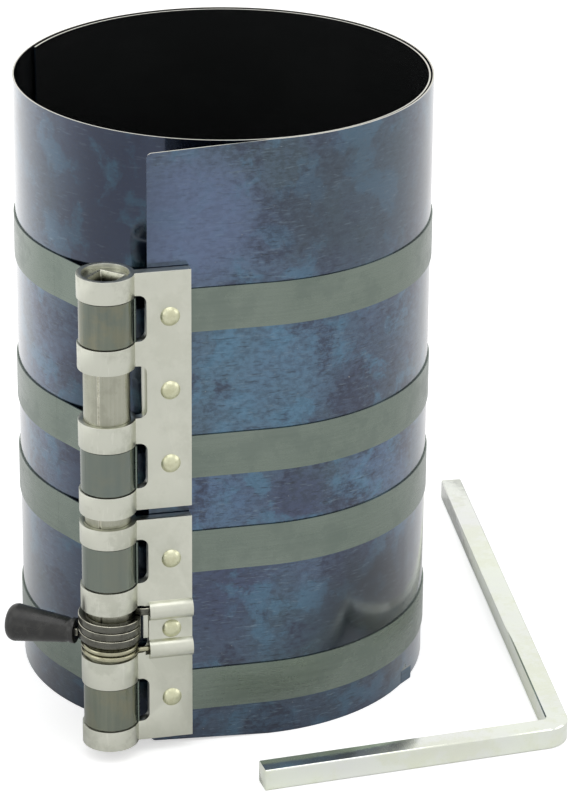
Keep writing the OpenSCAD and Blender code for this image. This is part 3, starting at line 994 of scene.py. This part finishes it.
@dataclass
class WindingHead:
    """The hinge plates, the tube with its rolls of band, and the rivets."""

    plate_round: float = 0.25 * MM
    tube_round: float = 0.2 * MM
    rolls: int = 4
    back_bar: Tuple[Vector, Vector] = (
        Vector((-35.5, -60.0, 102.1)) * MM, Vector((-34.2, -58.7, 117.5)) * MM)

    def build(self, shop: Workshop) -> None:
        """Makes the softened plates and tube and dresses the rolls and rivets.

        Args:
            shop: The workshop.
        """
        shop.soften("upper_plate", ZINC_PLATE, Body.COMPRESSOR, self.plate_round, (self.back_bar,))
        shop.soften("lower_plate", ZINC_PLATE, Body.COMPRESSOR, self.plate_round)
        shop.soften("winding_shaft", TUBE_STEEL, Body.SHAFT, self.tube_round)
        for number in range(1, self.rolls + 1):
            shop.keep(f"band_roll_{number}", ROLL_STEEL)
            shop.keep(f"band_rivet_{number}", RIVET_ZINC)
        shop.keep("plate_rivet", RIVET_ZINC)
        shop.keep("anchor_rivet", RIVET_ZINC)


@dataclass
class WireCoil:
    """A wire bent around the shaft, with a straight tang and a tight bend between tang and coil."""

    name: str
    node: str
    finish: MetalFinish
    wire: float
    square: bool
    coil_r: float
    pitch: float
    tang_z: float
    sweep: float
    rising: bool
    tang_y: float = -1.8 * MM
    tang_end: float = 20.3 * MM
    bend_r: float = 2.0 * MM
    bend_steps: int = 10
    coil_step: float = math.radians(6)
    corner_share: float = 0.16
    round_segments: int = 20
    wear_and_sheen_normals: Span = (0.3, 0.95)
    weld: float = 0.001 * MM

    def section(self, mesh: bmesh.types.BMesh) -> List[bmesh.types.BMFace]:
        """Makes the wire's section as a face that looks along X, at the tang's free end.

        Args:
            mesh: The bmesh to add it to.

        Returns:
            The section's face, in a list.
        """
        free_end = Matrix.Translation((self.tang_end, self.tang_y, self.tang_z))
        place = free_end @ Matrix.Rotation(math.pi / 2, 4, "Y")
        half = self.wire / 2
        if self.square:
            made = bmesh.ops.create_grid(mesh, x_segments=1, y_segments=1, size=half, matrix=place)
            bmesh.ops.bevel(
                mesh, geom=made["verts"], offset=self.corner_share * self.wire, offset_type="OFFSET",
                affect="VERTICES", segments=3, profile=0.5, material=-1)
        else:
            bmesh.ops.create_circle(
                mesh, cap_ends=True, segments=self.round_segments, radius=half, matrix=place)
        return list(mesh.faces)

    def build(self, shop: Workshop) -> None:
        """Draws the tang, bends it and winds the coil.

        Args:
            shop: The workshop.
        """
        mesh = bmesh.new()
        faces = self.section(mesh)
        side = 1.0 if self.rising else -1.0
        centre_y = self.tang_y + side * self.bend_r
        reach = self.coil_r + self.bend_r
        centre_x = math.sqrt(reach * reach - centre_y * centre_y)
        grown = bmesh.ops.extrude_face_region(mesh, geom=faces)["geom"]
        drawn = [v for v in grown if isinstance(v, bmesh.types.BMVert)]
        bmesh.ops.translate(mesh, vec=(centre_x - self.tang_end, 0.0, 0.0), verts=drawn)
        cap = [f for f in grown if isinstance(f, bmesh.types.BMFace)]
        turn = math.pi / 2 - side * math.atan2(centre_y, centre_x)
        cap = self._spin(mesh, cap, (centre_x, centre_y, 0.0), -side * turn, self.bend_steps)
        steps = int(self.sweep / self.coil_step)
        rise = -side * self.pitch * self.sweep / (2 * math.pi * steps)
        self._spin(mesh, cap, (0.0, 0.0, 0.0), side * self.sweep, steps, rise)
        bmesh.ops.remove_doubles(mesh, verts=mesh.verts, dist=self.weld)
        bmesh.ops.recalc_face_normals(mesh, faces=mesh.faces)
        bmesh.ops.translate(mesh, vec=(SHAFT_X, SHAFT_Y, 0.0), verts=mesh.verts)
        # The square wire's bevelled corners take the edge colour: rubbed edges and painted highlights along
        # the turns.
        mask = mesh.faces.layers.float.new(EDGE_LAYER)
        low, high = self.wear_and_sheen_normals
        for face in mesh.faces:
            face[mask] = float(self.square and low < abs(face.normal.z) < high)
        shop.finish_piece(self.name, mesh, self.finish, Body.COMPRESSOR, self.node)

    @staticmethod
    def _spin(mesh: bmesh.types.BMesh, cap: List[bmesh.types.BMFace], centre: Point, angle: float,
              steps: int, rise: float = 0.0) -> List[bmesh.types.BMFace]:
        """Spins the wire's end face about an upright axis.

        Args:
            mesh: The bmesh.
            cap: The end face, in a list.
            centre: A point of the axis.
            angle: The signed angle.
            steps: The number of steps.
            rise: How far the wire rises in each step.

        Returns:
            The new end face, in a list.
        """
        spun = bmesh.ops.spin(
            mesh, geom=cap, cent=centre, axis=(0.0, 0.0, 1.0), dvec=(0.0, 0.0, rise), angle=angle,
            steps=steps, use_merge=False, use_duplicate=False)
        return [f for f in spun["geom_last"] if isinstance(f, bmesh.types.BMFace)]


@dataclass
class WrapClutch:
    """The two springs around the shaft."""

    coils: Tuple[WireCoil, ...] = (
        WireCoil(
            "clutch_coil", "clutch_spring", SPRING_BLACK, wire=2.2 * MM, square=True, coil_r=7.57 * MM,
            pitch=2.4 * MM, tang_z=44.0 * MM, sweep=math.radians(1229), rising=True),
        WireCoil(
            "return_coil", "return_spring", SPRING_BRIGHT, wire=1.5 * MM, square=False, coil_r=7.22 * MM,
            pitch=1.75 * MM, tang_z=32.2 * MM, sweep=math.radians(532), rising=False))

    def build(self, shop: Workshop) -> None:
        """Winds both coils.

        Args:
            shop: The workshop.
        """
        for coil in self.coils:
            coil.build(shop)


@dataclass
class ReleaseLever:
    """The lever's squared neck and its grip."""

    neck_round: float = 0.3 * MM
    grip_round: float = 0.25 * MM

    def build(self, shop: Workshop) -> None:
        """Makes the softened neck and grip.

        Args:
            shop: The workshop.
        """
        shop.soften("release_lever", SPRING_BLACK, Body.LEVER, self.neck_round)
        shop.soften("lever_grip", GRIP_PLASTIC, Body.LEVER, self.grip_round)


@dataclass
class SquareKey:
    """The loose bent key."""

    edge_round: float = 0.12 * MM

    def build(self, shop: Workshop) -> None:
        """Makes the softened key.

        Args:
            shop: The workshop.
        """
        shop.soften("key", KEY_PLATING, Body.KEY, self.edge_round)


@dataclass(frozen=True)
class SoftLamp:
    """A square soft lamp that faces the object."""

    name: str
    at: Point
    size: float
    watts: float
    aim: Point = (0.0, 0.0, 0.08)

    def build(self) -> None:
        """Adds the lamp to the scene."""
        data = bpy.data.lights.new(self.name, "AREA")
        data.shape = "SQUARE"
        data.size = self.size
        data.energy = self.watts
        lamp = bpy.data.objects.new(self.name, data)
        lamp.location = self.at
        lamp.rotation_euler = (Vector(self.aim) - Vector(self.at)).to_track_quat("-Z", "Y").to_euler()
        bpy.context.scene.collection.objects.link(lamp)


@dataclass
class Studio:
    """A white floor and backdrop, soft lamps and the camera."""

    camera_at: Vector = Vector((-0.2082, -0.9464, 0.5001))
    camera_way: Vector = Vector((0.2140, 0.8916, -0.3992))
    camera_roll: float = math.radians(0.492)
    lens_mm: float = 164.7
    sensor_mm: float = 36.0
    clip_start: float = 0.01
    backdrop: float = 1.0
    room_light: float = 0.8
    floor_half: float = 6.0
    floor_drop: float = 0.05 * MM
    floor_colour: Tuple[float, float, float, float] = (0.8, 0.8, 0.8, 1.0)
    floor_roughness: float = 0.9
    floor_glow: float = 0.5
    mirrored_glow: Span = (0.03, 0.36)
    mirrored_way: Point = (-0.6, 0.8, 0.0)
    mirrored_span: Span = (0.05, 0.45)
    lamps: Tuple[SoftLamp, ...] = (
        SoftLamp("lamp_above", (0.0, -0.2, 1.5), size=1.4, watts=6.0),
        SoftLamp("lamp_left", (-1.5, -0.5, 0.9), size=1.0, watts=3.5),
        SoftLamp("lamp_right", (1.5, -0.4, 0.8), size=1.0, watts=3.0))

    def build(self) -> None:
        """Sets up view, world, floor, lamps and camera."""
        bpy.context.scene.view_settings.view_transform = "Standard"
        self.world()
        self.floor()
        for lamp in self.lamps:
            lamp.build()
        self.camera()

    def world(self) -> None:
        """Makes the world white to camera, gloss and glass rays and a plain soft light to the rest."""
        world = bpy.data.worlds.new("studio")
        world.use_nodes = True
        bpy.context.scene.world = world
        bench = NodeBench(world.node_tree)
        back = world.node_tree.nodes["Background"]
        path = bench.add("ShaderNodeLightPath").outputs
        seen = bench.math("MAXIMUM", path["Is Camera Ray"], path["Is Glossy Ray"])
        seen = bench.math("MAXIMUM", seen, path["Is Transmission Ray"])
        lift = bench.times(seen, self.backdrop - self.room_light)
        bench.feed(back.inputs["Strength"], bench.math("ADD", lift, self.room_light))
        back.inputs["Color"].default_value = WHITE

    def floor(self) -> None:
        """Makes the pale floor, which is nearly white by itself and keeps the shadow."""
        mesh = bmesh.new()
        bmesh.ops.create_grid(mesh, x_segments=4, y_segments=4, size=self.floor_half)
        bmesh.ops.translate(mesh, vec=(0.0, 0.0, -self.floor_drop), verts=mesh.verts)
        floor = mesh_object("floor", mesh)
        material, bench, shader = start_material("floor_paper")
        shader.inputs["Base Color"].default_value = self.floor_colour
        shader.inputs["Roughness"].default_value = self.floor_roughness
        shader.inputs["Specular IOR Level"].default_value = 0.0
        shader.inputs["Emission Color"].default_value = WHITE
        path = bench.add("ShaderNodeLightPath").outputs
        place = bench.add("ShaderNodeTexCoord").outputs["Object"]
        away = bench.vector_math("DOT_PRODUCT", "Value", place, self.mirrored_way)
        glow = bench.remap(away, *self.mirrored_span, *self.mirrored_glow)
        seen = bench.times(path["Is Camera Ray"], self.floor_glow)
        mirrored = bench.times(path["Is Glossy Ray"], glow)
        bench.feed(shader.inputs["Emission Strength"], bench.math("ADD", seen, mirrored))
        floor.data.materials.append(material)

    def camera(self) -> None:
        """Adds the camera at the photograph's viewing angle."""
        data = bpy.data.cameras.new("camera")
        data.sensor_width = self.sensor_mm
        data.lens = self.lens_mm
        data.clip_start = self.clip_start
        camera = bpy.data.objects.new("camera", data)
        turned = self.camera_way.to_track_quat("-Z", "Y").to_matrix().to_4x4()
        camera.matrix_world = (
            Matrix.Translation(self.camera_at) @ turned @ Matrix.Rotation(self.camera_roll, 4, "Z"))
        bpy.context.scene.collection.objects.link(camera)
        bpy.context.scene.camera = camera


def main() -> None:
    """Builds the studio and dresses each sub-assembly in order."""
    logging.basicConfig(level=logging.INFO, format="%(name)s: %(message)s")
    Studio().build()
    shop = Workshop()
    for assembly in (SleeveAssembly(), WindingHead(), WrapClutch(), ReleaseLever(), SquareKey()):
        LOG.info("building %s", type(assembly).__name__)
        assembly.build(shop)


if __name__ == "__main__":
    main()
